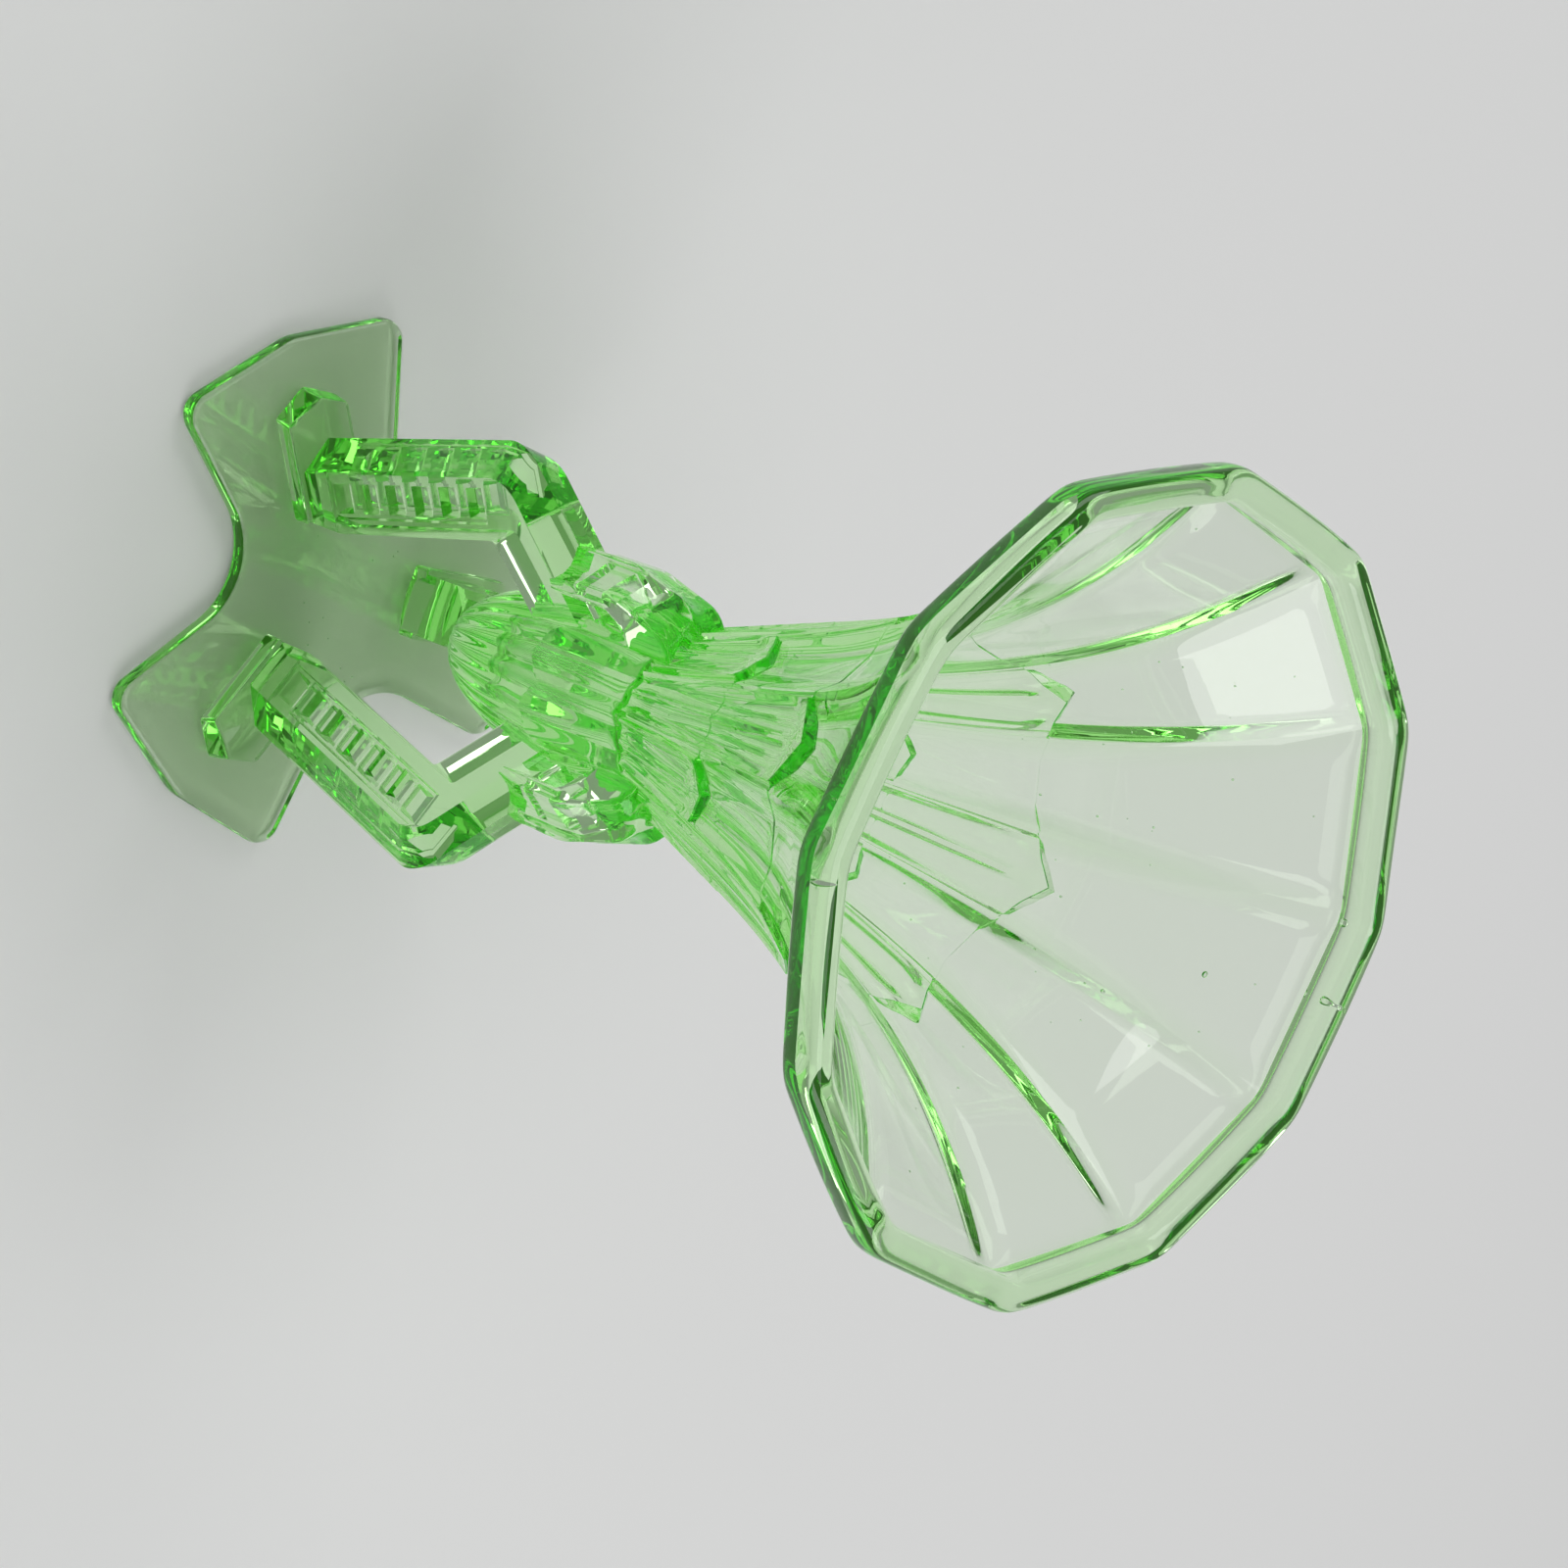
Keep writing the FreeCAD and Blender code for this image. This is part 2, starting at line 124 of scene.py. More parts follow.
BEAD_HALF_WIDTH = 3.0     # fire-polished bead at the rim
BEAD_HALF_HEIGHT = 3.9
BEAD_POWER = 0.72         # less than 1 makes its section squarer
BEAD_ANGLES = (-66, -52, -38, -20, 0, 18, 34, 48, 60, 72, 84, 96, 108, 120, 134, 150, 168)

BELL_BOTTOM = 168.0
CAVITY_BOTTOM = 62.0
CAVITY_RADIUS = 8.4       # hollow in the nose
CAVITY_DOME = 8.0         # height of its rounded end


# ---- arrays round the body ----
PHI = np.arange(COLUMNS) * 360.0 / COLUMNS
RAD = np.radians(PHI)
FACET = np.floor(PHI / FACET_STEP).astype(int)
FACET_U = (PHI - FACET * FACET_STEP) / HALF_FACET - 1.0      # -1 and 1 on the ridges
LONG_FACET = FACET % 2 == 1
FROM_GAP = np.abs(PHI % LEG_STEP - LEG_STEP / 2)             # angle from mid-way between two legs


def smooth(x):
    """Smooth step from 0 to 1."""
    x = np.clip(x, 0.0, 1.0)
    return x * x * (3 - 2 * x)


def softened(values, sigma):
    """Values round the circle, blurred by an angle."""
    freq = np.fft.fftfreq(COLUMNS, d=360.0 / COLUMNS)
    gain = np.exp(-2 * (math.pi * sigma * freq) ** 2)
    return np.real(np.fft.ifft(np.fft.fft(values) * gain))


# twelve-sided plan, with its corners ever softer
POLY = math.cos(math.radians(HALF_FACET)) / np.cos(np.radians(FACET_U * HALF_FACET))
POLY_SOFT = softened(POLY, 1.1)
POLY_SOFTER = softened(POLY, 2.6)
POLY_RIM = 0.85 * softened(POLY, 1.6) + 0.15 * POLY.max()
# ribs and reeds as rounded waves about their mean
WAVE_MEAN = 0.64
NOSE_RIB = np.abs(np.cos(np.radians(PHI * 12))) - WAVE_MEAN
REED = np.abs(np.sin(np.radians(PHI * 24))) - WAVE_MEAN


def ridge_radius(z):
    """Outer radius on the ridges of the cone and bell."""
    share = np.clip((z - COLLAR_Z) / (HEIGHT - COLLAR_Z), 0, None)
    return CONE_BASE_RADIUS + CONE_SLOPE * (z - COLLAR_Z) + FLARE_GROWTH * share ** FLARE_POWER


def wobble(z, seed, size):
    """Slow unevenness of hand-finished glass."""
    waves = 7
    rng = np.random.default_rng(seed)
    total = np.zeros_like(PHI)
    for k in range(waves):
        turns = rng.integers(2, 11)
        pitch = rng.uniform(0.05, 0.22)
        start = rng.uniform(0, 2 * math.pi)
        total = total + np.sin(turns * RAD + pitch * z + start) / waves ** 0.5
    return size * total


# ---- outer surfaces of the body ----
def nose_surface(z):
    """Ribbed half ellipse."""
    reach = np.clip((NOSE_WIDEST - z) / (NOSE_WIDEST - NOSE_TIP), 0, 1)
    radius = NOSE_RADIUS * np.sqrt(np.clip(1 - reach ** 2, 0, 1))
    return radius + NOSE_RIB_DEPTH * smooth((z - NOSE_TIP - 0.5) / NOSE_RIB_START) * NOSE_RIB


def tier_surface(z):
    """Arched panels, nearly flat across their middle, with the nose's ribs run on over them."""
    share = (z - ARCH_FOOT) / (COLLAR_Z - ARCH_FOOT)
    radius = TIER_FOOT_RADIUS + (TIER_TOP_RADIUS - TIER_FOOT_RADIUS) * share
    from_middle = np.clip(np.abs(FROM_GAP - ARCH_MIDDLE), 0, ARCH_MIDDLE)
    plan = softened(math.cos(math.radians(ARCH_MIDDLE)) / np.cos(np.radians(from_middle)), 0.9)
    return radius * (0.975 + 0.5 * (plan - plan.mean())) + TIER_RIB_DEPTH * NOSE_RIB


def end_contour(z, is_long):
    """Height round the body of the pointed upper ends of the panels."""
    rise = LONG_RISE if is_long else SHORT_RISE
    fits = LONG_FACET if is_long else ~LONG_FACET
    pointed = z + PANEL_OVERRUN - rise * np.clip(np.abs(FACET_U), 0, PANEL_SHARE) * PANEL_POINT
    return np.where(fits, pointed, z + PANEL_OVERRUN - rise * PANEL_SHARE * PANEL_POINT)


def flute_dish(z, half, x):
    """Hollow of a flute, with rounded corners at the rim end."""
    to_side = half - DISH_EDGE - x
    to_rim = (BELL_TOP - 0.2 - z) * 1.9
    short = np.hypot(np.clip(DISH_CORNER - to_side, 0, None), np.clip(DISH_CORNER - to_rim, 0, None))
    inside = np.clip(DISH_CORNER - short, 0, DISH_CORNER) / DISH_CORNER
    start, run = DISH_START
    return DISH_DEPTH * smooth((z - start) / run) * smooth(inside * 1.15)


def ridge_rib(z, half, x):
    """Rib along each ridge, thinner towards the rim."""
    height = RIB_DEPTH * smooth((z - COLLAR_Z) / RIB_RUN) * smooth((BELL_TOP + 2.0 - z) / RIB_RUN)
    width = 1.5 - 0.6 * smooth((z - 150) / 50)
    return height * np.exp(-((half - x) / width) ** 2)


def panel_face(z):
    """Height of a raised panel's face above the cone, with two flutes sunk in it."""
    end = np.where(LONG_FACET, end_contour(LONG_END, True), end_contour(SHORT_END, False))
    room = end - PANEL_END_MARGIN - z
    across = (np.abs(FACET_U) - PANEL_HOLLOW_MIDDLE) / PANEL_HOLLOW_HALF
    to_end = np.clip(room / PANEL_END_RUN, 0, 1)
    hollow = np.sqrt(np.clip(1 - across ** 2 - (1 - to_end) ** 2, 0, 1))
    hollow = np.where(room > 0, hollow, 0.0)
    return PANEL_RAISE - PANEL_HOLLOW * hollow


def cone_surface(z, short_on, long_on):
    """Cone and bell: flat flutes between ribs, with the raised panels switched on or off."""
    ridge = ridge_radius(z)
    half = ridge * math.tan(math.radians(HALF_FACET))
    x = np.abs(FACET_U) * half
    fade, run = REED_END
    reeds = REED_DEPTH * REED * (1 - smooth((z - fade) / run))
    side = smooth((PANEL_SHARE - np.abs(FACET_U)) / 0.12)
    on = np.where(LONG_FACET, long_on, short_on) * side
    dished = ridge * POLY - flute_dish(z, half, x) * (1 - on)
    return dished + ridge_rib(z, half, x) + reeds + on * panel_face(z)


# heights round the body of the tier's arched lower edge and of the collar's ledge
ARCH_Z = ARCH_FOOT + np.where(
    FROM_GAP < ARCH_REACH,
    ARCH_RISE * (1 - np.sqrt(np.clip(1 - (np.abs(FROM_GAP - ARCH_CENTRE) / ARCH_HALF) ** 2, 0.0, 1))),
    ARCH_BESIDE_LEG,
)
COLLAR = COLLAR_Z - 0.8 + 1.8 * np.clip(FROM_GAP / 36.0, 0, 1)


# ---- rings of the body, as (heights, radii), from the nose tip round to the cavity floor ----
def evenly(start, end, count, first=0):
    """Heights from start to end in equal steps."""
    return [start + (end - start) * k / count for k in range(first, count + 1)]


def nose_rings():
    """From the tip up to the tier's arched lower edge."""
    count = 38
    for k in range(1, count + 1):
        z = NOSE_TIP + (ARCH_Z - NOSE_TIP) * (k / count) ** 1.7
        yield z, np.clip(nose_surface(z), 0.6, None)


def tier_rings():
    """The tier between its two ledges, then the step in to the cone."""
    low = tier_surface(ARCH_Z)
    yield ARCH_Z + 0.12, low - 0.35
    yield ARCH_Z + 0.55, low - 0.02
    for z in evenly(ARCH_Z + 0.55, COLLAR - 0.55, 16, 1):
        yield z, tier_surface(z)
    high = tier_surface(COLLAR)
    yield COLLAR - 0.15, high - 0.22
    yield COLLAR, high - 0.6
    ledge = np.minimum(cone_surface(COLLAR + 0.9, 1.0, 1.0), high - 1.0)
    yield COLLAR + 0.12, ledge + 0.35
    yield COLLAR + 0.45, ledge + 0.06


def cone_rings():
    """Up to the short panels' ends, then to the long ones', then the bell."""
    short_end = end_contour(SHORT_END, False)
    long_end = end_contour(LONG_END, True)
    both, long_only, bare = (1.0, 1.0), (0.0, 1.0), (0.0, 0.0)
    for start, end, now, then in (
        (COLLAR + 0.9, short_end, both, long_only),
        (short_end + 0.5, long_end, long_only, bare),
    ):
        for z in evenly(start, end - 0.5, 20):
            yield z, cone_surface(z, *now)
        below = cone_surface(end, *now)
        above = cone_surface(end, *then)
        for step, share in ((-0.12, 0.86), (0.05, 0.55), (0.2, 0.1)):
            yield end + step, above + (below - above) * share
    for z in evenly(long_end + 0.5, BELL_TOP - 0.6, 28):
        yield z, cone_surface(z, *bare)


def rim_rings():
    """Fire-polished bead, a little uneven."""
    sag = wobble(0.0, 11, 0.22) - 0.35
    wave = wobble(0.0, 23, 0.15) - 0.15
    for degrees in BEAD_ANGLES:
        angle = math.radians(degrees)
        across = math.copysign(abs(math.cos(angle)) ** BEAD_POWER, math.cos(angle))
        upward = math.copysign(abs(math.sin(angle)) ** BEAD_POWER, math.sin(angle))
        z = HEIGHT - BEAD_HALF_HEIGHT + BEAD_HALF_HEIGHT * upward + sag * smooth((upward + 1) / 2)
        yield z, (RIM_RADIUS - BEAD_HALF_WIDTH + BEAD_HALF_WIDTH * across) * POLY_RIM + wave


def inner_rings():
    """Inner wall of the bell and cone, twelve-sided above and round below."""
    for z in evenly(HEIGHT - 6.6, BELL_BOTTOM, 24):
        yield z, (ridge_radius(z) - WALL) * POLY_SOFT + wobble(z, 5, 0.07)
    for z in evenly(BELL_BOTTOM, COLLAR_Z, 20, 1):
        share = smooth((z - 112) / 40)
        shape = POLY_SOFTER * share + 0.985 * (1 - share)
        yield z, (ridge_radius(z) - WALL - 0.8 * (1 - share)) * shape + wobble(z, 5, 0.06)


def cavity_rings(mouth):
    """Hollow in the collar and nose, with a rounded end."""
    count = 18
    for k in range(1, count + 1):
        share = k / count
        z = COLLAR_Z + (CAVITY_BOTTOM + CAVITY_DOME - COLLAR_Z) * share
        yield z, mouth + (CAVITY_RADIUS - mouth) * smooth(share) + wobble(z, 5, 0.04)
    for k in range(1, 9):
        angle = math.radians(90 * k / 8.6)
        yield CAVITY_BOTTOM + CAVITY_DOME * (1 - math.sin(angle)), CAVITY_RADIUS * math.cos(angle)


def body_rings():
    """All rings as pairs of full arrays."""
    rings = []

    def add(found):
        """Adds rings, each height and radius as a full array."""
        for z, radius in found:
            rings.append(tuple(np.broadcast_to(v, PHI.shape).astype(float) for v in (z, radius)))

    for part in (nose_rings(), tier_rings(), cone_rings(), rim_rings(), inner_rings()):
        add(part)
    add(cavity_rings(rings[-1][1].mean()))
    return rings


def mesh_object(name, verts, faces):
    """New object from points in millimetres."""
    mesh = bpy.data.meshes.new(name)
    mesh.from_pydata([tuple(float(c) * MM for c in v) for v in verts], [], faces)
    mesh.update()
    piece = bpy.data.objects.new(name, mesh)
    bpy.context.scene.collection.objects.link(piece)
    return piece


def build_body():
    """Closed skin through the rings."""
    rings = body_rings()
    verts = [(0.0, 0.0, NOSE_TIP)]
    for z, radius in rings:
        verts.extend(zip(radius * np.cos(RAD), radius * np.sin(RAD), z))
    verts.append((0.0, 0.0, CAVITY_BOTTOM))
    last = 1 + (len(rings) - 1) * COLUMNS
    faces = []
    for j in range(COLUMNS):
        after = (j + 1) % COLUMNS
        faces.append((0, 1 + after, 1 + j))
        faces.append((last + j, last + after, len(verts) - 1))
        for k in range(len(rings) - 1):
            a = 1 + k * COLUMNS
            b = a + COLUMNS
            faces.append((a + j, a + after, b + after, b + j))
    body = mesh_object("body", verts, faces)
    bm = bmesh.new()
    bm.from_mesh(body.data)
    bmesh.ops.recalc_face_normals(bm, faces=bm.faces)
    bm.to_mesh(body.data)
    bm.free()
    return body


# ---- small closed solids for the stand ----
def rounded(points, radii, steps=6):
    """Outline with an arc at each corner that has a radius."""
    out = []
    count = len(points)
    for k in range(count):
        corner = Vector(points[k])
        if radii[k] <= 0:
            out.append(tuple(corner))
            continue
        to_before = (Vector(points[k - 1]) - corner).normalized()
        to_after = (Vector(points[(k + 1) % count]) - corner).normalized()
        half = to_before.angle(to_after) / 2
        run = radii[k] / math.tan(half)
        centre = corner + (to_before + to_after).normalized() * (radii[k] / math.sin(half))
        start = corner + to_before * run - centre
        end = corner + to_after * run - centre
        for s in range(steps + 1):
            share = s / steps
            arm = (start * (1 - share) + end * share).normalized() * radii[k]
            out.append(tuple(centre + arm))
    return out


def loft(name, rings, edge_round=0.0, segments=2, fans=False):
    """Closed solid between rings of points, with its sharp edges rounded."""
    verts = [p for ring in rings for p in ring]
    count = len(rings[0])
    faces = []
    for k in range(len(rings) - 1):
        for j in range(count):
            after = (j + 1) % count
            faces.append((k * count + j, k * count + after, (k + 1) * count + after, (k + 1) * count + j))
    last = (len(rings) - 1) * count
    if fans:
        verts.append((0.0, 0.0, rings[0][0][2]))
        verts.append((0.0, 0.0, rings[-1][0][2]))
        for j in range(count):
            after = (j + 1) % count
            faces.append((len(verts) - 2, after, j))
            faces.append((len(verts) - 1, last + j, last + after))
    else:
        faces.append(tuple(reversed(range(count))))
        faces.append(tuple(range(last, last + count)))
    piece = mesh_object(name, verts, faces)
    bm = bmesh.new()
    bm.from_mesh(piece.data)
    bmesh.ops.recalc_face_normals(bm, faces=bm.faces)
    bmesh.ops.triangulate(bm, faces=[f for f in bm.faces if len(f.verts) > 4])
    if edge_round > 0:
        sharp = [e for e in bm.edges if e.calc_face_angle(0) > math.radians(28)]
        bmesh.ops.bevel(bm, geom=sharp, offset=edge_round * MM, segments=segments, profile=0.5,
                        affect="EDGES", clamp_overlap=True)
    bm.to_mesh(piece.data)
    bm.free()
    return piece


def slab(name, outline, half_width, edge_round=0.0, segments=2):
    """Upright slab from an outline in the (r, z) plane."""
    rings = [[(r, side * half_width, z) for r, z in outline] for side in (-1, 1)]
    return loft(name, rings, edge_round, segments)


def boolean(target, operand, operation):
    """Applies an exact boolean and removes the operand."""
    modifier = target.modifiers.new("join", "BOOLEAN")
    modifier.object = operand
    modifier.operation = operation
    modifier.solver = "EXACT"
    graph = bpy.context.evaluated_depsgraph_get()
    result = bpy.data.meshes.new_from_object(target.evaluated_get(graph))
    target.modifiers.clear()
    old = target.data
    target.data = result
    bpy.data.meshes.remove(old)
    used = operand.data
    bpy.data.objects.remove(operand)
    bpy.data.meshes.remove(used)
    return target


def turned_copy(piece, degrees):
    """Copy turned about the vertical axis."""
    copy = piece.copy()
    copy.data = piece.data.copy()
    copy.data.transform(Matrix.Rotation(math.radians(degrees), 4, "Z"))
    bpy.context.scene.collection.objects.link(copy)
    return copy


# ---- legs, drawn in the upright plane through the leg: r outwards, z up ----
LEG_HALF = 6.0
KEEL = 5.0                # how far the ridge down the middle stands out beyond the side edges
FULLNESS = 0.7            # swell of the inner faces across their width
ELBOW_INNER = (27.4, 64.9)
ELBOW_OUTER = (40.9, 71.1)
LEAN = 0.2166
BRACE_RISE = 0.60
BRACE_UNDER_RISE = 0.64
HEEL_TOP = 16.5           # the pillar's inner face is upright below this
ROOT = 13.0               # radius inside the body where braces and fins end
SINK = 0.6                # legs start this far down in the plate
LEG_SLICES = 6            # slices across each half of a leg

# ladder panel: a shallow frame, and six deeper pockets with rungs between them
PANEL_LOW = 15.5
PANEL_HIGH = 64.0
GAPS = 6
RUNG = 2.0
FRAME_CUT = (3.0, 1.3, 0.6)     # margin on the inside, margin on the outside, depth
POCKET_CUT = (3.7, 2.0, 2.3)

# sections of the foot block: across, reach of the tip, rise of the ridge
FOOT_SECTIONS = ((-7.1, 0.0, 0.0), (0.0, 4.0, 1.5), (7.1, 0.0, 0.0))
FOOT_OUTER_LOW = 37.8
FOOT_OUTER_HIGH = 36.6
FOOT_INWARD = 0.2         # the block reaches this far inside the pillar's inner face
FOOT_RIDGE = 1.5

# the hood's outline, its centre, and its sections: across, how far it stands out, scale
HOOD_THROAT = 22.8
HOOD_INNER = [(13.2, 101.5), (19.8, 99.5), (HOOD_THROAT, 95.0)]
HOOD_OUTER = [(25.0, 97.0), (20.5, 110.6), (13.2, 111.6)]
HOOD_RADII = [0, 3.0, 3.0, 0, 0, 2.0, 11.0, 4.5, 0]
HOOD_CENTRE = Vector((18.0, 100.0))
HOOD_HALF = [
    (0.0, 3.9, 1.0), (0.35, 3.7, 1.0), (1.3, 2.5, 1.0), (2.6, 1.2, 1.0), (4.2, 0.35, 1.0),
    (5.6, 0.1, 1.0), (6.25, 0.0, 0.985), (6.6, -0.1, 0.955), (6.75, -0.2, 0.90),
]
HOOD_SECTIONS = [(-w, out, scale) for w, out, scale in reversed(HOOD_HALF)] + HOOD_HALF[1:]

FIN_PITCH = 6.9
FIN_THICKNESS = 2.6
FIN_END = 23.4
FIN_HALF = 5.0


def pillar_inner(z):
    """Radius of the pillar's inner face."""
    return ELBOW_INNER[0] - LEAN * (ELBOW_INNER[1] - z)


def pillar_outer(z):
    """Radius of the pillar's outer edges at its sides."""
    return ELBOW_OUTER[0] - LEAN * (ELBOW_OUTER[1] - z)


def brace_top(r):
    """Height of the brace's upper edges at its sides."""
    return ELBOW_OUTER[1] + BRACE_RISE * (ELBOW_OUTER[0] - r)


def leg_outline(stand_out, full):
    """Side view of pillar and brace, with the outer faces moved out and the inner ones moved in."""
    base = PLATE_TOP - SINK
    heel = pillar_inner(HEEL_TOP) - full
    elbow = (ELBOW_INNER[0] - 0.7 * full, ELBOW_INNER[1] - 0.9 * full)
    outline = [
        (ROOT, elbow[1] + BRACE_UNDER_RISE * (elbow[0] - ROOT)),
        elbow,
        (heel, HEEL_TOP),
        (heel, base),
        (pillar_outer(base) + stand_out, base),
        (ELBOW_OUTER[0] + stand_out, ELBOW_OUTER[1]),
        (ROOT, brace_top(ROOT - stand_out)),
    ]
    return rounded(outline, [0, 1.5, 2.0, 0, 0, 6.5, 0], 8)


def build_pillar_and_brace():
    """Bent bar with a keel down its outer side."""
    rings = []
    for k in range(-LEG_SLICES, LEG_SLICES + 1):
        across = k / LEG_SLICES
        outline = leg_outline(KEEL * (1 - abs(across)), FULLNESS * (1 - across ** 2))
        rings.append([(r, LEG_HALF * across, z) for r, z in outline])
    return loft("leg", rings, 0.65, 3)


def cut_recess(leg, side, z0, z1, cut):
    """Sinks a recess with sloping walls in one side of the pillar."""
    inside, outside, depth = cut
    rings = []
    for draft, y in ((0.0, LEG_HALF + 1.0), (0.0, LEG_HALF), (0.4 * depth, LEG_HALF - depth)):
        rings.append([
            (pillar_inner(z0) + inside + draft, side * y, z0 + draft),
            (pillar_outer(z0) - outside - draft, side * y, z0 + draft),
            (pillar_outer(z1) - outside - draft, side * y, z1 - draft),
            (pillar_inner(z1) + inside + draft, side * y, z1 - draft),
        ])
    boolean(leg, loft("pocket", rings), "DIFFERENCE")


def cut_ladders(leg):
    """Ladder panel on both sides of the pillar."""
    pitch = (PANEL_HIGH - PANEL_LOW + RUNG) / GAPS
    for side in (-1, 1):
        cut_recess(leg, side, PANEL_LOW, PANEL_HIGH, FRAME_CUT)
        for k in range(GAPS):
            z0 = PANEL_LOW + pitch * k
            cut_recess(leg, side, z0 + 0.4, z0 + pitch - RUNG - 0.2, POCKET_CUT)


def build_foot():
    """Stepped foot block with a pointed outer end and a ridged top."""
    inner = pillar_inner(HEEL_TOP) - FOOT_INWARD
    low = PLATE_TOP - 0.5
    rings = []
    for offset, tip, crown in FOOT_SECTIONS:
        high = FOOT_TOP - FOOT_RIDGE + crown
        rings.append([
            (inner, offset, low), (FOOT_OUTER_LOW + tip, offset, low),
            (FOOT_OUTER_HIGH + tip, offset, high), (inner, offset, high),
        ])
    return loft("foot", rings, 0.7, 3)


def build_hood():
    """Hood over the root of the brace, with hollowed flanks either side of its ridge."""
    spring = brace_top(23.0)
    inner = HOOD_INNER + [(HOOD_THROAT, spring - 2.0)]
    outer = [(24.0, spring - 2.0), (24.9, spring + 2.5)] + HOOD_OUTER
    rings = []
    for offset, stand_out, scale in HOOD_SECTIONS:
        moved = [(r + stand_out, z) for r, z in outer]
        ring = []
        for r, z in rounded(inner + moved, HOOD_RADII, 4):
            scaled_r = HOOD_CENTRE.x + (r - HOOD_CENTRE.x) * scale
            scaled_z = HOOD_CENTRE.y + (z - HOOD_CENTRE.y) * scale
            ring.append((scaled_r, offset, scaled_z))
        rings.append(ring)
    return loft("hood", rings)


def build_fin(number):
    """Thin fin under the hood, parallel to the brace."""
    lift = FIN_PITCH * number
    outline = [
        (ROOT, brace_top(ROOT) + lift - FIN_THICKNESS),
        (FIN_END, brace_top(FIN_END) + lift - FIN_THICKNESS),
        (FIN_END, brace_top(FIN_END) + lift), (ROOT, brace_top(ROOT) + lift),
    ]
    return slab("fin", outline, FIN_HALF, 0.45, 2)


def build_leg():
    """One leg on the +X side with its foot block, hood and fins."""
    leg = build_pillar_and_brace()
    cut_ladders(leg)
    boolean(leg, build_foot(), "UNION")
    boolean(leg, build_hood(), "UNION")
    for number in (1, 2):
        boolean(leg, build_fin(number), "UNION")
    return leg


# ---- foot plate ----
# corners of the outline over one leg: radius, angle from the leg, rounding
PLATE_CORNERS = ((53.5, -29.0, 4.5), (51.3, 0.0, 10.0), (53.5, 29.0, 4.5), (17.9, 60.0, 15.5))
# section of the plate's edge: height, distance in from the outline
PLATE_EDGE = (
    (0.0, 0.9), (0.25, 0.3), (0.8, 0.0), (PLATE_TOP - 1.3, 0.0),
    (PLATE_TOP - 0.55, 0.25), (PLATE_TOP - 0.12, 0.8), (PLATE_TOP, 1.6),
)


def build_plate():
    """Three-lobed plate with pointed lobe ends and rounded notches."""
    points, radii = [], []
    for leg in range(LEG_COUNT):
        for radius, offset, corner_round in PLATE_CORNERS:
            a = math.radians(LEG_STEP * leg + offset)
            points.append((radius * math.cos(a), radius * math.sin(a)))
            radii.append(corner_round)
    outline = rounded(points, radii, 16)

    def ring(z, inset):
        """The outline at one height, moved inwards."""
        out = []
        count = len(outline)
        for k in range(count):
            before = Vector(outline[k - 1])
            after = Vector(outline[(k + 1) % count])
            along = (after - before).normalized()
            out.append((outline[k][0] - along.y * inset, outline[k][1] + along.x * inset, z))
        return out

    return loft("plate", [ring(z, inset) for z, inset in PLATE_EDGE], fans=True)


# ---- bubbles in the glass ----
# larger bubbles: angle, radius, height, then half sizes along the radius, round the axis and upwards
LARGE_BUBBLES = [
    (239.2, 66.0, 203.6, 0.55, 0.85, 0.80),
    (227.3, 66.3, 205.2, 0.50, 0.75, 0.80),
    (222.5, 49.6, 191.6, 0.30, 0.60, 0.55),
    (208.0, 41.3, 181.5, 0.28, 0.45, 0.45),
    (63.2, 66.3, 206.6, 2.00, 0.55, 0.50),
]
WALL_SEEDS = 110
PLATE_SEEDS = 16
THINNEST_WALL = 2.0       # thinner walls get no bubble


def seed_bubbles():
    """Small bubbles scattered in the middle of the bell's wall and of the plate."""
    rng = np.random.default_rng(23)
    found = []
    while len(found) < WALL_SEEDS:
        column = int(rng.integers(COLUMNS))
        z = float(rng.uniform(118.0, 199.0))
        size = float(rng.uniform(0.10, 0.24))
        outer = float(cone_surface(np.full(COLUMNS, z), 0.0, 0.0)[column])
        inner = float((ridge_radius(z) - WALL) * POLY_SOFT[column])
        middle = inner + (outer - inner) * rng.uniform(0.38, 0.62)
        if outer - inner > THINNEST_WALL:
            found.append((float(PHI[column]), middle, z, size, size, size))
    for k in range(PLATE_SEEDS):
        size = float(rng.uniform(0.10, 0.22))
        place = (float(rng.uniform(0, 360)), float(rng.uniform(6, 23)), float(rng.uniform(1.1, 2.5)))
        found.append(place + (size, size, size))
    return found


def add_bubbles(bm):
    """Hollows inside the glass: closed shells that face inwards."""
    for azimuth, radius, z, *half in LARGE_BUBBLES + seed_bubbles():
        place = (
            Matrix.Rotation(math.radians(azimuth), 4, "Z")
            @ Matrix.Translation(Vector((radius, 0.0, z)) * MM)
            @ Matrix.Diagonal((half[0] * MM, half[1] * MM, half[2] * MM, 1.0))
        )
        detail = 3 if max(half) > 0.4 else 2
        made = bmesh.ops.create_icosphere(bm, subdivisions=detail, radius=1.0, matrix=place)
        shell = list({face for vert in made["verts"] for face in vert.link_faces})
        bmesh.ops.reverse_faces(bm, faces=shell)


# ---- the vase ----
WELD = 0.000002           # metres
FLAT_AREA = 4e-5          # square metres: faces larger than this are flat planes
FLAT_NORMAL = 0.9999      # so are faces that are this nearly level
SHARP_ANGLE = 34


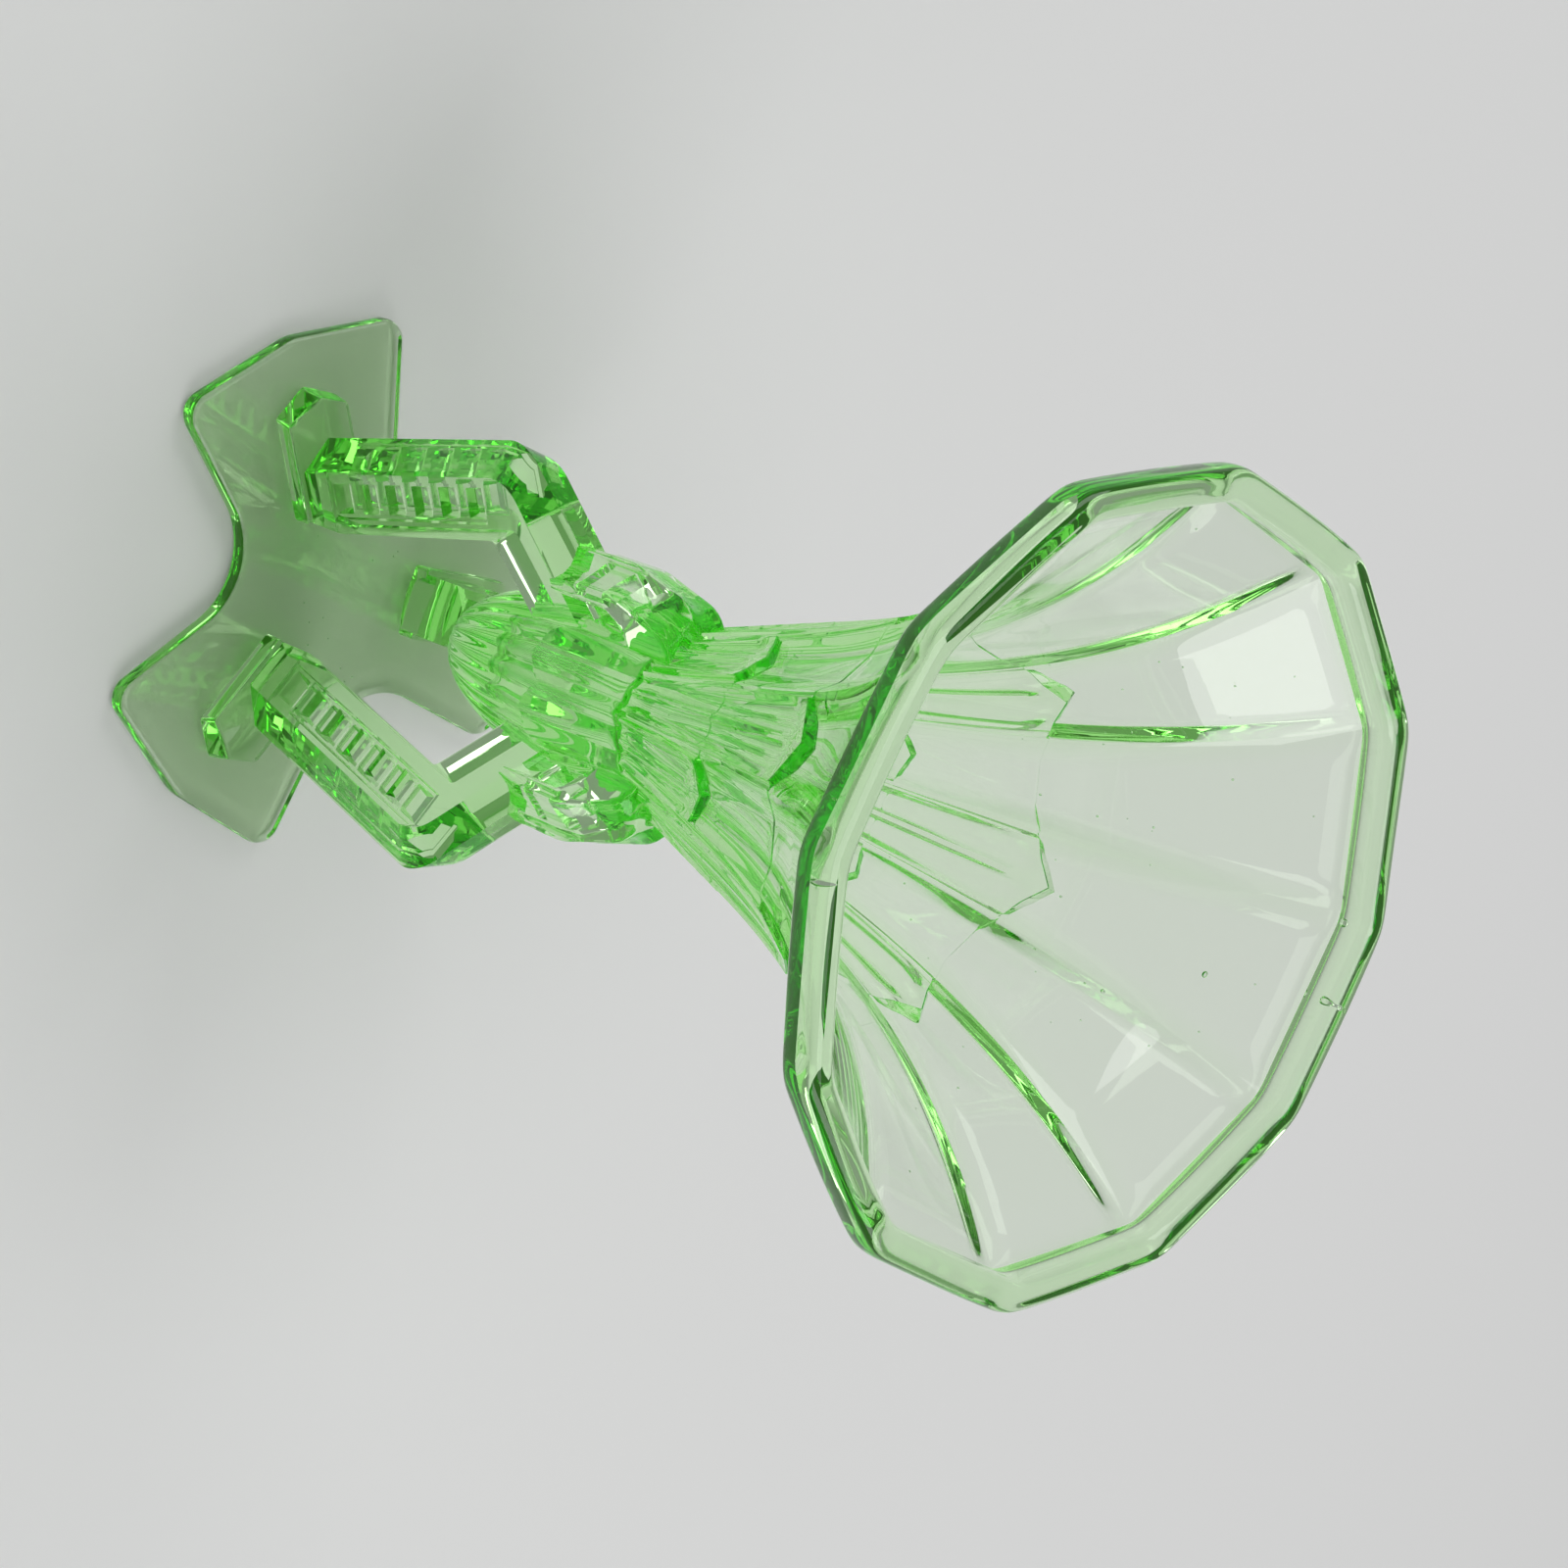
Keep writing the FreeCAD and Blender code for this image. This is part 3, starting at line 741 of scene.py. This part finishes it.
def build_vase():
    """The whole pressing as one closed mesh."""
    body = build_body()
    leg = build_leg()
    plate = build_plate()
    for number in range(LEG_COUNT):
        boolean(plate, turned_copy(leg, LEG_STEP * number), "UNION")
    bpy.data.objects.remove(leg)
    vase = boolean(body, plate, "UNION")
    vase.name = "vase_glass"
    vase.data.name = "vase_glass"
    bm = bmesh.new()
    bm.from_mesh(vase.data)
    bmesh.ops.remove_doubles(bm, verts=bm.verts, dist=WELD)
    bmesh.ops.dissolve_degenerate(bm, edges=bm.edges, dist=WELD)
    add_bubbles(bm)
    bm.to_mesh(vase.data)
    bm.free()
    for face in vase.data.polygons:
        face.use_smooth = face.area <= FLAT_AREA and abs(face.normal.z) <= FLAT_NORMAL
    vase.data.set_sharp_from_angle(angle=math.radians(SHARP_ANGLE))
    weighted = vase.modifiers.new("weighted", "WEIGHTED_NORMAL")
    weighted.keep_sharp = True
    return vase


def glass_material():
    """Clear glass whose colour comes from its depth, with a faint painted glow: a constant green emission
    that stands in for uranium glass's fluorescence and for bright highlights where light is collected.
    """
    material = bpy.data.materials.new("uranium_glass")
    material.use_nodes = True
    nodes = material.node_tree.nodes
    shader = nodes["Principled BSDF"]
    shader.inputs["Base Color"].default_value = (0.985, 1.0, 0.975, 1)
    shader.inputs["Roughness"].default_value = 0.015
    shader.inputs["IOR"].default_value = 1.52
    shader.inputs["Transmission Weight"].default_value = 1.0
    # painted glow: a faint constant green emission, lit by no lamp, stands in for the glass's
    # fluorescence and its collected highlights
    shader.inputs["Emission Color"].default_value = (0.30, 1.0, 0.05, 1)
    shader.inputs["Emission Strength"].default_value = 0.008
    volume = nodes.new("ShaderNodeVolumeAbsorption")
    volume.inputs["Color"].default_value = (0.34, 0.96, 0.06, 1)
    volume.inputs["Density"].default_value = 44.0
    material.node_tree.links.new(volume.outputs["Volume"], nodes["Material Output"].inputs["Volume"])
    return material


vase = build_vase()
vase.data.materials.clear()
vase.data.materials.append(glass_material())
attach(vase, "root")
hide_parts(*NODES)


# ---- stage, in metres ----
FLOOR_HALF = 6.0
FLOOR_DROP = 0.0003       # keeps the floor clear of the plate's underside


def build_floor():
    """Plain pale floor."""
    corners = [(-FLOOR_HALF, -FLOOR_HALF, 0), (FLOOR_HALF, -FLOOR_HALF, 0),
               (FLOOR_HALF, FLOOR_HALF, 0), (-FLOOR_HALF, FLOOR_HALF, 0)]
    mesh = bpy.data.meshes.new("floor")
    mesh.from_pydata(corners, [], [(0, 1, 2, 3)])
    floor = bpy.data.objects.new("floor", mesh)
    bpy.context.scene.collection.objects.link(floor)
    floor.location.z = -FLOOR_DROP
    material = bpy.data.materials.new("floor")
    material.use_nodes = True
    shader = material.node_tree.nodes["Principled BSDF"]
    shader.inputs["Base Color"].default_value = (0.86, 0.86, 0.85, 1)
    shader.inputs["Roughness"].default_value = 0.6
    mesh.materials.append(material)


def area_light(name, place, size, power):
    """Soft box that faces the middle of the vase."""
    data = bpy.data.lights.new(name, "AREA")
    data.shape = "RECTANGLE"
    data.size, data.size_y = size
    data.energy = power
    lamp = bpy.data.objects.new(name, data)
    bpy.context.scene.collection.objects.link(lamp)
    lamp.location = place
    lamp.rotation_mode = "QUATERNION"
    middle = Vector((0.0, 0.0, 0.11))
    lamp.rotation_quaternion = (middle - Vector(place)).to_track_quat("-Z", "Y")


build_floor()
area_light("key", (-1.2, 0.7, 1.2), (1.3, 0.9), 9.5)
area_light("fill", (1.2, -1.0, 1.0), (1.1, 0.8), 6.5)
area_light("top", (-0.1, -0.2, 1.8), (1.4, 1.4), 9.0)

world = bpy.data.worlds.new("studio")
bpy.context.scene.world = world
world.use_nodes = True
world.node_tree.nodes["Background"].inputs["Color"].default_value = (0.97, 0.985, 1.0, 1)
world.node_tree.nodes["Background"].inputs["Strength"].default_value = 0.28

# ---- camera: seen from above one gap between legs, rolled on its side ----
CAMERA_PLACE = Vector((291.7, 360.8, 569.8)) * MM
CAMERA_AIM = Vector((-2.7, 2.2, 131.7)) * MM
ROLL = math.radians(-111.76)


def build_camera():
    """Camera that looks at its aim, turned about the line of sight."""
    data = bpy.data.cameras.new("camera")
    data.lens = 86.7
    data.sensor_width = 36.0
    camera = bpy.data.objects.new("camera", data)
    bpy.context.scene.collection.objects.link(camera)
    ahead = (CAMERA_AIM - CAMERA_PLACE).normalized()
    level = ahead.cross(Vector((0, 0, 1))).normalized()
    above = level.cross(ahead)
    right = level * math.cos(ROLL) - above * math.sin(ROLL)
    up = level * math.sin(ROLL) + above * math.cos(ROLL)
    camera.matrix_world = Matrix((
        (right.x, up.x, -ahead.x, CAMERA_PLACE.x),
        (right.y, up.y, -ahead.y, CAMERA_PLACE.y),
        (right.z, up.z, -ahead.z, CAMERA_PLACE.z),
        (0, 0, 0, 1),
    ))
    return camera


scene = bpy.context.scene
scene.camera = build_camera()
scene.cycles.max_bounces = 24
scene.cycles.transmission_bounces = 24
scene.cycles.glossy_bounces = 10
scene.cycles.transparent_max_bounces = 16
scene.view_settings.view_transform = "Standard"
